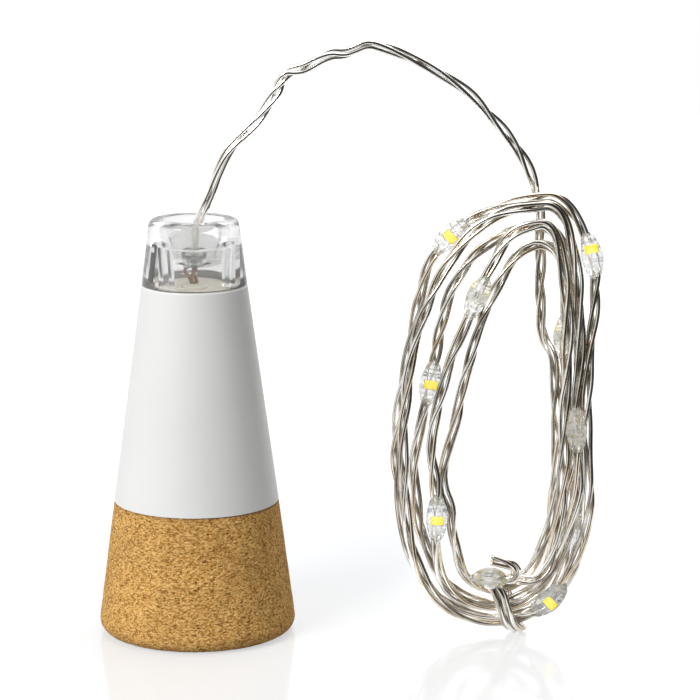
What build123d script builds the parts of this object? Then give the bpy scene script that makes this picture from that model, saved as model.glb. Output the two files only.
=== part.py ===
from build123d import *

import math
import os

import numpy as np

# Cork bottle light: a cork cap, a tapered white housing with a rechargeable
# plug and board inside, a clear tip, and a twisted light string that rises
# from the tip, arches over and stands beside the lamp as a tied hank.
# Millimetres, +Z up, origin at the centre of the cork's underside, +X towards
# the hank, -Y towards the viewer.

# Cork cap
cork_height = 22.6
cork_base_diameter = 33.6
cork_edge_radius = 2.2
parting_diameter = 27.6
cork_lip_chamfer = 0.3
flange_thickness = 1.6
sleeve_wall = 1.4
sleeve_floor = 1.2
plug_end_gap = 0.8
glue_gap = 0.1

# White housing and its end plate
housing_height = 36.6
housing_wall = 1.6
tip_joint_diameter = 17.6
housing_edge_radius = 0.4
plate_thickness = 2.0
ring_diameter = 21.4
ring_height = 2.0
ring_wall = 1.0
ring_floor_gap = 1.0
boss_diameter = 4.0
boss_height = 7.0
boss_rib = 1.6

# Screws that hold the end plate to the housing
screw_offset = 8.0
screw_diameter = 1.6
screw_length = 6.0
screw_head_diameter = 3.0
screw_head_height = 1.0
screw_head_sink = 0.2
screw_slot_width = 0.4
screw_slot_length = 2.0
screw_slot_depth = 0.5

# Clear tip
tip_height = 11.0
tip_top_diameter = 14.9
tip_wall = 1.2
tip_rim_height = 4.4
tip_edge_radius = 1.3
tip_spigot_length = 3.6
tip_spigot_wall = 1.2
tip_socket_wall = 1.2
cup_mouth_diameter = 10.1
cup_floor_diameter = 7.2
cup_depth = 6.4
cup_wall = 1.0
cup_floor = 1.2
rib_count = 3
rib_first_angle = -138
rib_width = 3.0
rib_depth = 1.0

# Grommet in the floor of the clear tip's cup
grommet_diameter = 2.9
grommet_flange_diameter = 4.2
grommet_flange = 0.5

# Plug
plug_width = 12.0
plug_thickness = 4.5
plug_sheet = 0.3
plug_length = 18.8
plug_exposed = 13.0
plug_window = 2.2
plug_window_spacing = 5.8
plug_window_depth = 6.0
tongue_thickness = 1.85
tongue_setback = 0.6
contact_width = 1.0
contact_length = 7.0
contact_setback = 1.2
contact_pitch = 2.4
contact_count = 4
contact_height = 0.2

# Circuit board and what it carries
board_width = 13.0
board_thickness = 1.0
board_top_gap = 2.3
board_lift = 0.2
cell_width = 10.0
cell_thickness = 4.2
cell_foot_gap = 1.5
cell_top_gap = 2.5
cell_edge_radius = 0.8
pad_thickness = 0.3
pad_margin = 1.0
tab_width = 2.0
tab_thickness = 0.2
tab_spacing = 5.0
tab_reach = 1.6
chip_width = 4.9
chip_length = 3.9
chip_height = 1.4
chip_edge = 0.2
charger_start = 10.8
driver_start = 17.8
resistor_size = (0.8, 0.5, 1.6)
resistor_count = 4
resistor_pitch = 1.8
resistor_start = 8.2
capacitor_size = (1.25, 0.9, 2.0)
capacitor_count = 2
capacitor_spacing = 5.0
capacitor_start = 15.2
indicator_size = (1.6, 0.6, 0.8)
indicator_start = 4.8
solder_size = (0.9, 0.8, 1.0)
solder_pitch = 1.8
solder_top_gap = 1.4
wire_drop = 1.2

# Frame that holds the board in the housing
rail_width = 2.0
rail_depth = 3.6
rail_grip = 0.9
puck_clearance = 0.25
puck_height = 3.1
puck_bore = 4.0
puck_drop = 0.8

# Slide switch beside the plug
switch_width = 7.2
switch_thickness = 2.0
switch_height = 2.8
knob_width = 1.4
knob_thickness = 1.0
knob_reach = 1.2
knob_depth = 1.6
switch_travel = 2.0

# Light string: one twisted cord with its drops
cord_diameter = 1.7
strand_diameter = 0.7
strand_spread = 0.42
strand_angles = (150, 270, 30)
drop_diameter = 3.3
drop_end_diameter = 2.2
drop_length = 6.4
# Rings of a drop: how far along its length from the middle, and how much of its swell
drop_rings = [(-0.5, 0.0), (-0.28, 0.75), (0.0, 1.0), (0.28, 0.75), (0.5, 0.0)]
led_size = (1.8, 0.35, 1.1)
led_depth = 0.35

# Clearances
sliding_clearance = 0.15
seat_clearance = 0.05
free_clearance = 0.2
board_clearance = 0.05
bore_clearance = 0.05

# Share of the shorter run that a rounded corner takes up, and how far apart
# the points are that measure gaps
corner_share = 0.45
sample_step = 0.5

# Route of the string from the cup's floor over the arch to the hank
lead_points = [
    (0.0, 0.0, 67.2),
    (1.7, 0.1, 72.4),
    (3.6, 0.2, 78.0),
    (6.9, 0.3, 83.9),
    (11.4, 0.4, 89.3),
    (15.0, 0.5, 94.2),
    (19.2, 0.6, 97.0),
    (24.4, 0.7, 98.3),
    (28.9, 0.8, 99.7),
    (34.2, 0.9, 98.0),
    (40.4, 1.0, 94.6),
    (46.9, 1.1, 89.6),
    (52.7, 1.2, 83.0),
    (56.4, 1.3, 76.4),
    (57.2, 1.3, 71.0),
]

# Hank: where each turn crosses its top, right, bottom and left, and how far
# one rank of the spiral moves it there
hank_y = -3.0
hank_entry = (57.2, 1.3, 66.0)
outer_turn = 3.0
outer_rank = 2.75
last_right = 5.25
climb_turns = 0.25
outer_bottom = 2.5
inner_bottom = 0.5
top_x = 57.0
top_z = 66.0
top_step = 3.0
top_layer_lift = 0.8
right_x = 58.7
right_z = 36.0
right_step = 3.13
bottom_x = 50.0
bottom_z = 7.88
bottom_step = 2.3
left_inner_x = 43.0
left_inner_rank = 0.5
left_spread = 9.6
left_spread_ranks = 2.0
left_power = 0.85
left_z = 23.0
left_step = 3.2
side_layer_gap = 3.5
bottom_layer_gap = 2.3
# How long each quarter turn's first arc is against its second: on the innermost
# rank, and what one rank adds
top_share = (0.06, 0.17)
right_share = (2.7, -0.8)
bottom_share = (0.45, 0.4)
left_share = (7.25, -2.5)
end_share = 12.0

# Tie: the string's end, wound twice round the foot of the hank
tie_wraps = 2
tie_clearance = 0.12
tie_top_clearance = 0.6
tie_pitch = 2.75
tie_x = 51.0
tie_lead_in = 3.0
tie_entry_y = 1.4
tie_back_lean = 1.6
tie_turn_lean = 0.1
tie_bend_radius = 1.8
tail_corner = (0.0, 0.0, 0.9)
tail_start = (1.6, -2.7, 1.45)
tail_length = 5.0

# Drops on the hank: the turn each sits at (a whole number is the top, a half the
# bottom) and whether its chip faces the front (-1) or the back (1)
drop_places = [
    (1.142, 1),
    (1.825, -1),
    (2.36, 1),
    (2.925, -1),
    (3.085, -1),
    (3.44, -1),
    (4.253, 1),
    (4.692, -1),
    (4.916, 1),
]
tail_drop_place = 0.5

# Worked out from the sizes above
parting_z = cork_height
tip_z = parting_z + housing_height
lamp_top = tip_z + tip_height
plate_top = parting_z + plate_thickness
flange_top = parting_z - ring_height - ring_floor_gap
flange_bottom = flange_top - flange_thickness
plug_end = parting_z - plug_exposed
plug_back = plug_end + plug_length
sleeve_inside = plug_end - plug_end_gap
sleeve_bottom = sleeve_inside - sleeve_floor
board_back = -plug_thickness / 2
board_front = board_back - board_thickness
board_bottom = plate_top + board_lift
cup_floor_top = lamp_top - cup_depth
cup_floor_bottom = cup_floor_top - cup_floor
grommet_bottom = cup_floor_bottom - grommet_flange
switch_y = board_front - switch_thickness / 2
cord_radius = cord_diameter / 2
pocket_width = plug_width + 2 * sliding_clearance
pocket_depth = plug_thickness + 2 * sliding_clearance
sleeve_width = pocket_width + 2 * sleeve_wall
sleeve_depth = pocket_depth + 2 * sleeve_wall
tip_spigot_radius = tip_joint_diameter / 2 - tip_socket_wall - seat_clearance
board_y = (board_back + board_front) / 2
tongue_top = board_back + plug_sheet + seat_clearance + tongue_thickness
cell_y = board_back + pad_thickness + cell_thickness / 2
puck_radius = tip_spigot_radius - tip_spigot_wall - puck_clearance
puck_top = tip_z - puck_drop
puck_bottom = puck_top - puck_height
board_top = puck_bottom - board_top_gap
board_length = board_top - board_bottom
cell_bottom = plug_back + cell_foot_gap
cell_length = board_top - cell_top_gap - cell_bottom
solder_top = board_top - solder_top_gap
solder_start = solder_top - solder_size[2] - board_bottom


def housing_radius(z):
    """Outer radius of the white housing at a height."""
    share = (z - parting_z) / housing_height
    return (parting_diameter + (tip_joint_diameter - parting_diameter) * share) / 2


def box(size_x, size_y, size_z, x=0.0, y=0.0, z=0.0):
    """Block centred on x and y, standing on z."""
    return Pos(x, y, z + size_z / 2) * Box(size_x, size_y, size_z)


def rod(radius, low, high, x=0.0, y=0.0):
    """Upright round bar between two heights."""
    return Pos(x, y, (low + high) / 2) * Cylinder(radius, high - low)


def turned(points):
    """Solid turned about the Z axis from a closed outline of radius and height."""
    outline = Polyline(*[(radius, 0, height) for radius, height in points], close=True)
    return revolve(make_face(outline), axis=Axis.Z)


def save(name, shape):
    """Writes one node."""
    export_step(shape, f"parts/{name}.step")


def make_cork_cap():
    """Turned cork with a recess for the insert's flange and a slot for its sleeve."""
    cork = turned(
        [
            (0, 0),
            (cork_base_diameter / 2, 0),
            (parting_diameter / 2, parting_z),
            (0, parting_z),
        ]
    )
    rims = cork.edges().filter_by(GeomType.CIRCLE).sort_by(Axis.Z)
    cork = fillet(rims[0], cork_edge_radius)
    cork = chamfer(cork.edges().filter_by(GeomType.CIRCLE).sort_by(Axis.Z)[-1], cork_lip_chamfer)
    recess = rod(ring_diameter / 2 + sliding_clearance, flange_bottom, parting_z)
    slot = box(
        sleeve_width + 2 * glue_gap,
        sleeve_depth + 2 * glue_gap,
        flange_bottom - sleeve_bottom + glue_gap,
        z=sleeve_bottom - glue_gap,
    )
    return cork - recess - slot


def make_cap_insert():
    """Plastic socket glued in the cork: it grips the plug, so the cap can't turn."""
    flange = rod(ring_diameter / 2 + sliding_clearance - glue_gap, flange_bottom, flange_top)
    sleeve = box(sleeve_width, sleeve_depth, flange_bottom - sleeve_bottom, z=sleeve_bottom)
    pocket = box(pocket_width, pocket_depth, flange_top - sleeve_inside, z=sleeve_inside)
    return flange + sleeve - pocket


def make_body_shell():
    """White tapered housing with a socket for the tip and two screw bosses."""
    socket = tip_spigot_radius + seat_clearance
    socket_bottom = tip_z - tip_spigot_length - free_clearance
    shell = turned(
        [
            (housing_radius(parting_z), parting_z),
            (housing_radius(tip_z), tip_z),
            (socket, tip_z),
            (socket, socket_bottom),
            (housing_radius(socket_bottom) - housing_wall, socket_bottom),
            (housing_radius(parting_z) - housing_wall, parting_z),
        ]
    )
    brims = shell.edges().filter_by(GeomType.CIRCLE).filter_by_position(Axis.Z, tip_z, tip_z)
    shell = fillet(brims.sort_by(SortBy.RADIUS)[-1], housing_edge_radius)
    plug_room = box(
        plug_width + 2 * free_clearance,
        plug_thickness + 2 * free_clearance,
        boss_height,
        z=plate_top,
    )
    inside = turned(
        [
            (0, plate_top),
            (housing_radius(plate_top) - housing_wall / 2, plate_top),
            (housing_radius(plate_top + boss_height) - housing_wall / 2, plate_top + boss_height),
            (0, plate_top + boss_height),
        ]
    )
    for side in (-1, 1):
        boss = rod(boss_diameter / 2, plate_top, plate_top + boss_height, x=side * screw_offset)
        rib_length = parting_diameter / 2 - screw_offset
        rib = box(
            rib_length,
            boss_rib,
            boss_height,
            x=side * (screw_offset + rib_length / 2),
            z=plate_top,
        )
        pilot = rod(
            screw_diameter / 2 + seat_clearance / 2,
            plate_top,
            plate_top + boss_height,
            x=side * screw_offset,
        )
        shell += ((boss + rib) & inside) - plug_room - pilot
    return shell


def make_end_plate():
    """Plate that closes the housing, with the ring that centres it in the cork."""
    plate_radius = housing_radius(plate_top) - housing_wall - free_clearance / 2
    plate = rod(plate_radius, parting_z, plate_top)
    ring = rod(ring_diameter / 2, parting_z - ring_height, parting_z)
    ring -= rod(ring_diameter / 2 - ring_wall, parting_z - ring_height, parting_z)
    plate += ring
    plate -= box(
        plug_width + 2 * seat_clearance,
        plug_thickness + 2 * seat_clearance,
        plate_thickness,
        z=parting_z,
    )
    plate -= box(
        knob_width + switch_travel + 2 * sliding_clearance,
        knob_thickness + 2 * sliding_clearance,
        plate_thickness,
        y=switch_y,
        z=parting_z,
    )
    for side in (-1, 1):
        x = side * screw_offset
        plate -= rod(screw_diameter / 2 + sliding_clearance, parting_z, plate_top, x=x)
        seat = parting_z + screw_head_sink + screw_head_height
        plate -= rod(screw_head_diameter / 2 + seat_clearance, parting_z, seat, x=x)
    return plate


def make_screws():
    """Two pan-head screws with crossed slots, heads down in the end plate."""
    screws = []
    head_bottom = parting_z + screw_head_sink
    head_top = head_bottom + screw_head_height
    for side in (-1, 1):
        x = side * screw_offset
        screw = rod(screw_head_diameter / 2, head_bottom, head_top, x=x)
        screw += rod(screw_diameter / 2, head_top, head_top + screw_length, x=x)
        screw -= box(screw_slot_length, screw_slot_width, screw_slot_depth, x=x, z=head_bottom)
        screw -= box(screw_slot_width, screw_slot_length, screw_slot_depth, x=x, z=head_bottom)
        screws.append(screw)
    return Compound(children=screws)


def make_clear_tip():
    """Clear cap with a thick rim, a tapered cup for the string, and inner ribs."""
    foot = tip_joint_diameter / 2
    crown = tip_top_diameter / 2
    rim_bottom = lamp_top - tip_rim_height
    outer_at_rim = foot + (crown - foot) * (tip_height - tip_rim_height) / tip_height
    cup_mouth = cup_mouth_diameter / 2
    cup_foot = cup_floor_diameter / 2
    cup_at_rim = cup_mouth + (cup_foot - cup_mouth) * tip_rim_height / cup_depth
    body = turned(
        [
            (grommet_diameter / 2, cup_floor_bottom),
            (cup_foot + cup_wall, cup_floor_bottom),
            (cup_at_rim + cup_wall, rim_bottom),
            (outer_at_rim - tip_wall, rim_bottom),
            (tip_spigot_radius - tip_spigot_wall, tip_z),
            (tip_spigot_radius - tip_spigot_wall, tip_z - tip_spigot_length),
            (tip_spigot_radius, tip_z - tip_spigot_length),
            (tip_spigot_radius, tip_z),
            (foot, tip_z),
            (crown, lamp_top),
            (cup_mouth, lamp_top),
            (cup_foot, cup_floor_top),
            (grommet_diameter / 2, cup_floor_top),
        ]
    )
    crown_edges = body.edges().filter_by(GeomType.CIRCLE).filter_by_position(
        Axis.Z, lamp_top, lamp_top
    )
    body = fillet(crown_edges.sort_by(SortBy.RADIUS)[-1], tip_edge_radius)
    inside = turned(
        [
            (tip_spigot_radius - tip_spigot_wall - rib_depth, tip_z),
            (tip_spigot_radius - tip_spigot_wall / 2, tip_z),
            (outer_at_rim - tip_wall / 2, rim_bottom + tip_wall / 2),
            (outer_at_rim - tip_wall - rib_depth, rim_bottom + tip_wall / 2),
        ]
    )
    rib_height = tip_height - tip_rim_height + tip_wall
    for index in range(rib_count):
        rib = box(foot, rib_width, rib_height, x=foot / 2, z=tip_z)
        body += Rot(0, 0, rib_first_angle + 360 / rib_count * index) * rib & inside
    return body


def make_grommet():
    """Soft clear bush with a flange on each side of the cup's floor."""
    low = cup_floor_bottom - grommet_flange
    high = cup_floor_top + grommet_flange
    bush = rod(grommet_diameter / 2 - seat_clearance / 2, low, high)
    bush += rod(grommet_flange_diameter / 2, low, cup_floor_bottom)
    bush += rod(grommet_flange_diameter / 2, cup_floor_top, high)
    return bush - rod(cord_radius + bore_clearance, low, high)


def make_core_frame():
    """White frame: two grooved rails for the board under a puck with a wire hole."""
    limit = turned(
        [
            (0, plate_top),
            (housing_radius(plate_top) - housing_wall - free_clearance, plate_top),
            (housing_radius(puck_bottom) - housing_wall - free_clearance, puck_bottom),
            (0, puck_bottom),
        ]
    )
    rails_top = puck_bottom + puck_height / 2
    rail_inside = board_width / 2 - rail_grip
    rail_x = rail_inside + rail_width / 2
    rail = box(rail_width, rail_depth, rails_top - plate_top, y=board_y, z=plate_top)
    rails = Pos(-rail_x, 0, 0) * rail + Pos(rail_x, 0, 0) * rail
    neck = rod(puck_radius, puck_bottom, rails_top)
    rails = (rails & limit) + (rails & neck)
    puck = rod(puck_radius, puck_bottom, puck_top) - rod(puck_bore / 2, puck_bottom, puck_top)
    groove = box(
        board_width + 2 * board_clearance,
        board_thickness + 2 * board_clearance,
        board_length + board_lift + free_clearance,
        y=board_y,
        z=plate_top,
    )
    plug_room = box(
        plug_width + 2 * free_clearance,
        plug_thickness + 2 * free_clearance,
        plug_back - plate_top + free_clearance,
        z=plate_top,
    )
    frame = rails - groove - plug_room
    for side in (-1, 1):
        frame -= rod(
            boss_diameter / 2 + free_clearance,
            plate_top,
            plate_top + boss_height + free_clearance,
            x=side * screw_offset,
        )
    return frame + puck


def make_board():
    """Plain circuit board."""
    return box(
        board_width,
        board_thickness,
        board_length,
        y=board_y,
        z=board_bottom,
    )


def on_board(size, x, start):
    """Small block soldered to the front of the board, a distance above its foot."""
    return box(size[0], size[1], size[2], x=x, y=board_front - size[1] / 2, z=board_bottom + start)


def make_chip(start):
    """Integrated circuit with a marked front edge."""
    chip = on_board((chip_width, chip_height, chip_length), 0.0, start)
    front = chip.faces().sort_by(Axis.Y)[0]
    return chamfer(front.edges(), chip_edge)


def make_row(size, count, pitch, start):
    """Row of equal small parts across the board."""
    first = -pitch * (count - 1) / 2
    return Compound(children=[on_board(size, first + pitch * i, start) for i in range(count)])


def make_plug_shell():
    """Folded steel shell of the plug, with its four windows."""
    shell = box(plug_width, plug_thickness, plug_length, z=plug_end)
    shell -= box(plug_width - 2 * plug_sheet, plug_thickness - 2 * plug_sheet, plug_length, z=plug_end)
    for side in (-1, 1):
        shell -= box(
            plug_window,
            plug_thickness,
            plug_window,
            x=side * plug_window_spacing / 2,
            z=plug_end + plug_window_depth,
        )
    return shell


def make_plug_tongue():
    """Plastic tongue that carries the contacts, against the shell's board side."""
    return box(
        plug_width - 2 * plug_sheet - 2 * seat_clearance,
        tongue_thickness,
        plug_length - tongue_setback,
        y=tongue_top - tongue_thickness / 2,
        z=plug_end + tongue_setback,
    )


def make_contacts():
    """Gilt contact strips on the tongue."""
    first = -contact_pitch * (contact_count - 1) / 2
    strips = [
        box(
            contact_width,
            contact_height,
            contact_length,
            x=first + contact_pitch * index,
            y=tongue_top + contact_height / 2,
            z=plug_end + contact_setback,
        )
        for index in range(contact_count)
    ]
    return Compound(children=strips)


def make_cell():
    """Flat rechargeable cell."""
    cell = box(cell_width, cell_thickness, cell_length, y=cell_y, z=cell_bottom)
    return fillet(cell.edges().filter_by(Axis.Z), cell_edge_radius)


def make_cell_pad():
    """Foam tape between the cell and the board."""
    return box(
        cell_width - 2 * pad_margin,
        pad_thickness,
        cell_length - 2 * pad_margin,
        y=board_back + pad_thickness / 2,
        z=cell_bottom + pad_margin,
    )


def make_tab(side):
    """Bent strip from the cell's end to the back of the board."""
    tab_end = board_back + pad_thickness + tab_reach
    flat = box(
        tab_width,
        tab_end - board_back,
        tab_thickness,
        x=side * tab_spacing / 2,
        y=(tab_end + board_back) / 2,
        z=cell_bottom + cell_length,
    )
    upright = box(
        tab_width,
        tab_thickness,
        tab_reach,
        x=side * tab_spacing / 2,
        y=board_back + tab_thickness / 2,
        z=cell_bottom + cell_length,
    )
    return flat + upright


def make_switch_housing():
    """Body of the slide switch, with the channel that its knob runs in."""
    housing = box(switch_width, switch_thickness, switch_height, y=switch_y, z=board_bottom)
    return housing - box(
        knob_width + switch_travel + 2 * sliding_clearance,
        knob_thickness + 2 * sliding_clearance,
        knob_depth + sliding_clearance,
        y=switch_y,
        z=board_bottom,
    )


def make_switch_knob():
    """Knob of the slide switch, at the off end of its travel."""
    low = parting_z - knob_reach
    high = board_bottom + knob_depth
    return box(knob_width, knob_thickness, high - low, x=-switch_travel / 2, y=switch_y, z=low)


def route_radii(points):
    """Largest arc that each corner's two runs allow, over the corners of a route."""
    radii = []
    for before, corner, after in zip(points, points[1:], points[2:]):
        run_in = Vector(*corner) - Vector(*before)
        run_out = Vector(*after) - Vector(*corner)
        turn = math.radians(run_in.get_angle(run_out))
        shorter = min(run_in.length, run_out.length)
        radii.append(corner_share * shorter / math.tan(turn / 2))
    return radii


def tube(path, radius):
    """Round tube along a path of tangent edges."""
    section = Plane(origin=path @ 0, z_dir=path % 0) * Circle(radius)
    return sweep(section, path=path)


def route(points, radii):
    """Straight runs with rounded corners, as one wire."""
    return Wire(FilletPolyline(*points, radius=radii).edges())


def biarc(start, start_way, end, end_way, share):
    """Two tangent arcs from one point and heading to another."""
    across = end - start
    bend = 1 - start_way.dot(end_way)
    along = 2 * (share * across.dot(start_way) + across.dot(end_way))
    square = across.dot(across)
    if bend < 1e-6:
        second = square / along
    else:
        twice = 2 * share * bend
        second = (math.sqrt(along**2 + 4 * twice * square) - along) / (2 * twice)
    first = share * second
    near = start + start_way * first
    far = end - end_way * second
    joint = (near * second + far * first) * (1 / (first + second))
    return [
        TangentArc(start, joint, tangent=start_way),
        TangentArc(joint, end, tangent=far - near),
    ]


def at_rank(share, rank):
    """Arc share on one rank of the hank."""
    return share[0] + share[1] * rank


def coil_station(turn):
    """Point, heading and arc share where the hank crosses a quarter turn."""
    rank = outer_rank - abs(turn - outer_turn)
    layer = max(-1.0, min(1.0, (turn - outer_turn) / climb_turns))
    side_y = hank_y - layer * side_layer_gap / 2
    quarter = round(4 * turn) % 4
    if quarter == 0:
        point = Vector(top_x, side_y, top_z + top_step * rank + layer * top_layer_lift)
        return point, Vector(1, 0, 0), at_rank(top_share, rank)
    if quarter == 1:
        point = Vector(right_x + right_step * rank, side_y, right_z)
        return point, Vector(0, 0, -1), at_rank(right_share, rank)
    if quarter == 2:
        bottom_y = hank_y - layer * bottom_layer_gap / 2
        point = Vector(bottom_x, bottom_y, bottom_z - bottom_step * rank)
        return point, Vector(-1, 0, 0), at_rank(bottom_share, rank)
    spread = left_spread * ((rank - left_inner_rank) / left_spread_ranks) ** left_power
    point = Vector(left_inner_x - spread, side_y, left_z + left_step * rank)
    return point, Vector(0, 0, 1), at_rank(left_share, rank)


def coil_edges():
    """Arcs of the hank from its entry to where the tie starts, listed by quarter turn."""
    entry = Vector(*hank_entry)
    down = Vector(0, 0, -1)
    stations = [(entry + down * cord_diameter, down, 1.0)]
    quarters = round(4 * last_right)
    for quarter in range(1, quarters + 1):
        stations.append(coil_station(quarter / 4))
    stations[-1] = (*stations[-1][:2], end_share)
    tie_in = Vector(*tie_points[0])
    stations.append((tie_in + Vector(cord_diameter, 0, 0), Vector(-1, 0, 0), 1.0))
    spans = []
    for (start, start_way, share), (end, end_way, _) in zip(stations, stations[1:]):
        spans.append(biarc(start, start_way, end, end_way, share))
    spans[0].insert(0, Line(entry, stations[0][0]))
    spans[-1].append(Line(stations[-1][0], tie_in))
    return spans


def make_tie_points():
    """Corners of the tie's route: it wraps the bundle, then lies back over the top."""
    depth = bottom_layer_gap / 2 + cord_diameter + tie_clearance
    high = coil_station(inner_bottom)[0].Z + cord_diameter + tie_top_clearance
    low = coil_station(outer_bottom)[0].Z - cord_diameter - tie_clearance
    front = hank_y - depth
    back = hank_y + depth
    entry_y = hank_y - bottom_layer_gap / 2 - tie_entry_y
    points = [(tie_x + tie_lead_in, entry_y, high), (tie_x, entry_y, high)]
    for wrap in range(tie_wraps):
        x = tie_x - tie_pitch * wrap - tie_turn_lean
        points.append((x, back, high))
        points.append((x + tie_back_lean, back, low))
        points.append((x + tie_back_lean + tie_turn_lean, front, low))
        points.append((x - tie_pitch + tie_turn_lean, front, high))
    end = Vector(*points.pop())
    tail = end + Vector(*tail_start)
    points.append(tuple(end + Vector(*tail_corner)))
    points.append(tuple(tail))
    points.append(tuple(tail + Vector(tail_length, 0, 0)))
    return points


def tie_radii(points):
    """Bend of the tie at each corner: the bundle's where it wraps, else what the runs allow."""
    return [min(tie_bend_radius, radius) for radius in route_radii(points)]


def samples(path):
    """Points along a path, a step apart."""
    count = int(path.length / sample_step)
    return np.array([tuple(path @ (i / count)) for i in range(count + 1)])


def least_gap(points):
    """Smallest clear space between stretches of one tube that aren't neighbours."""
    skip = int(3 * cord_diameter / sample_step)
    gap = float("inf")
    for index in range(len(points) - skip):
        distance = np.linalg.norm(points[index + skip:] - points[index], axis=1).min()
        gap = min(gap, distance - cord_diameter)
    return gap


def make_lead_wires():
    """The cord's three strands inside the lamp, from the grommet to the board."""
    wires = []
    for index, angle in enumerate(strand_angles):
        x = strand_spread * math.cos(math.radians(angle))
        y = strand_spread * math.sin(math.radians(angle))
        pad_x = (index - (len(strand_angles) - 1) / 2) * solder_pitch
        pad_y = board_front - solder_size[1] / 2
        points = [
            (x, y, grommet_bottom),
            (x, y, (grommet_bottom + puck_top) / 2),
            (pad_x / 2, -puck_bore / 4, puck_bottom - strand_diameter / 2),
            (pad_x, pad_y, puck_bottom - wire_drop),
            (pad_x, pad_y, solder_top),
        ]
        wires.append(tube(route(points, route_radii(points)), strand_diameter / 2))
    return Compound(children=wires)


def make_drop(path, middle):
    """Clear drop moulded round the cord."""
    rings = []
    for station, swell in drop_rings:
        place = (middle + station * drop_length) / path.length
        diameter = drop_end_diameter + (drop_diameter - drop_end_diameter) * swell
        rings.append(Plane(origin=path @ place, z_dir=path % place) * Circle(diameter / 2))
    near = []
    run = 0.0
    for edge in path.edges():
        if run < middle + drop_length and run + edge.length > middle - drop_length:
            near.append(edge)
        run += edge.length
    return loft(rings) - tube(Wire(near), cord_radius + bore_clearance)


def make_led(path, middle, side):
    """Light chip just under the drop's front or back."""
    place = middle / path.length
    along = path % place
    face = Vector(0, side, 0)
    face = (face - along * face.dot(along)).normalized()
    seat = Plane(origin=path @ place, x_dir=along, z_dir=face)
    middle_height = drop_diameter / 2 - led_depth - led_size[1] / 2
    return seat * Pos(0, 0, middle_height) * Box(led_size[2], led_size[0], led_size[1])


def make_string():
    """The string's lead, hank and tie, with the drops along them."""
    lead_route = [(0.0, 0.0, grommet_bottom), *lead_points, hank_entry]
    lead_bends = route_radii(lead_route)
    lead = route(lead_route, lead_bends)
    spans = coil_edges()
    coil = Wire([edge for span in spans for edge in span])
    tie_bends = tie_radii(tie_points)
    tie = route(tie_points, tie_bends)
    print("lead radii", [round(radius, 1) for radius in lead_bends])
    print("tie radii", [round(radius, 1) for radius in tie_bends])
    for name, path in (("string_lead", lead), ("string_coil", coil), ("string_tie", tie)):
        cord = tube(path, cord_radius)
        save(name, cord)
        full = math.pi * cord_radius**2 * path.length
        print(name, "length", round(path.length, 1), "volume share", round(cord.volume / full, 4))
    coil_samples = samples(coil)
    tie_samples = samples(tie)
    print("coil least gap", round(least_gap(coil_samples), 2))
    print("tie least gap", round(least_gap(tie_samples), 2))
    inner = coil_samples[: -int(4 * cord_diameter / sample_step)]
    between = min(np.linalg.norm(inner - point, axis=1).min() for point in tie_samples)
    print("tie to coil", round(between - cord_diameter, 2))

    lengths = [sum(edge.length for edge in span) for span in spans]
    places = []
    for turn, side in drop_places:
        quarter = int(4 * turn)
        places.append((coil, sum(lengths[:quarter]) + lengths[quarter] * (4 * turn - quarter), side))
    places.append((tie, tie.length - tail_length * tail_drop_place, 1))
    for number, (path, middle, side) in enumerate(places, start=1):
        led = make_led(path, middle, side)
        save(f"led_drop_{number:02d}", make_drop(path, middle) - led)
        save(f"led_chip_{number:02d}", led)


tie_points = make_tie_points()
os.makedirs("parts", exist_ok=True)

save("cork_cap", make_cork_cap())
save("cap_insert", make_cap_insert())
save("body_shell", make_body_shell())
save("end_plate", make_end_plate())
save("end_plate_screws", make_screws())
save("clear_tip", make_clear_tip())
save("wire_grommet", make_grommet())
save("core_frame", make_core_frame())
save("circuit_board", make_board())
save("usb_shell", make_plug_shell())
save("usb_tongue", make_plug_tongue())
save("usb_contacts", make_contacts())
save("battery_cell", make_cell())
save("battery_pad", make_cell_pad())
save("battery_tab_positive", make_tab(1))
save("battery_tab_negative", make_tab(-1))
save("charger_ic", make_chip(charger_start))
save("driver_ic", make_chip(driver_start))
save("smd_resistors", make_row(resistor_size, resistor_count, resistor_pitch, resistor_start))
save("smd_capacitors", make_row(capacitor_size, capacitor_count, capacitor_spacing, capacitor_start))
save("charge_led", on_board(indicator_size, 0.0, indicator_start))
save("switch_housing", make_switch_housing())
save("switch_knob", make_switch_knob())
save("solder_joints", make_row(solder_size, len(strand_angles), solder_pitch, solder_start))
save("lead_wires", make_lead_wires())
make_string()
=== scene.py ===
"""Looks of the cork bottle light: its cork, its wire string and its finishes, on a white stage."""

import math

import bpy
from mathutils import Matrix, Vector, noise


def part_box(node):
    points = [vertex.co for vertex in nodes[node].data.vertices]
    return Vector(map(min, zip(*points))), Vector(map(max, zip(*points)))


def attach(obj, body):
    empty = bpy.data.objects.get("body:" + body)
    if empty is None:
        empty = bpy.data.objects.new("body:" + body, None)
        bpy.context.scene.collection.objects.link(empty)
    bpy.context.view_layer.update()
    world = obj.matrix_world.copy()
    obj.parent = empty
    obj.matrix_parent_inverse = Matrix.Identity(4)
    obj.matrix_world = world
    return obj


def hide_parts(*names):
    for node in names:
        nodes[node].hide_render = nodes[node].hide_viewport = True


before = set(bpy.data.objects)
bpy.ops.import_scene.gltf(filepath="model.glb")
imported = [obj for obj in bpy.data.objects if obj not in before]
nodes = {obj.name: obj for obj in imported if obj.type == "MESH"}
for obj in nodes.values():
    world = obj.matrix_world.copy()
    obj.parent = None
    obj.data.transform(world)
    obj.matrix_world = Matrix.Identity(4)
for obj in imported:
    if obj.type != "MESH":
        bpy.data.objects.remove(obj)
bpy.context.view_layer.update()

# Metres, in the model's frame: +Z up, origin under the cork, +X towards the hank,
# -Y towards the viewer. Grain sizes of the finishes are in millimetres.
MILLIMETRES = 1000

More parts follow.
